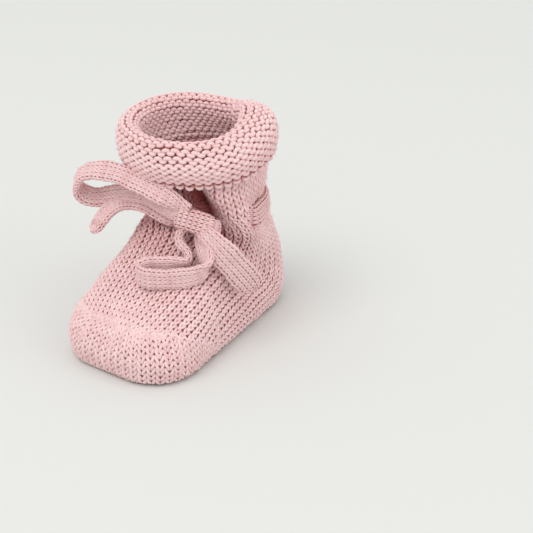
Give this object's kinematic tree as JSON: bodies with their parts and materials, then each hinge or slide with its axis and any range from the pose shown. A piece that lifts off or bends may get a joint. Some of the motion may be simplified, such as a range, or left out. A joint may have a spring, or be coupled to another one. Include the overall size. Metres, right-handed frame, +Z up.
{
  "type": "baby bootie",
  "caption": "Knitted baby bootie with a turned-down purl cuff and a flat knitted tie threaded through the ankle and tied in a bow.",
  "frame": {"origin": "middle of the foot's footprint, on the surface the sole rests on", "axes": "+Z up, toe towards -Y, heel towards +Y, +X to the wearer's side that carries the knot"},
  "size_m": [0.067, 0.0934, 0.0755],
  "materials": {
    "knit": "soft matte wool, stockinette",
    "cuff_knit": "soft matte wool, purl side out",
    "tie": "soft matte wool, flat knitted strap",
    "seam": "matte wool seam yarn"
  },
  "bodies": {
    "root": {"sole": "knit", "toe_cap": "knit", "instep_panel": "knit", "left_side_panel": "knit", "right_side_panel": "knit", "heel_panel": "knit", "leg_tube": "knit", "leg_seam": "seam", "cuff_fold": "cuff_knit", "cuff_turnover": "cuff_knit", "cuff_seam": "seam", "tie_ankle_band": "tie", "tie_knot": "tie", "tie_upper_loop": "tie", "tie_right_tail": "tie", "tie_lower_loop": "tie", "tie_left_tail": "tie"}
  },
  "joints": []
}
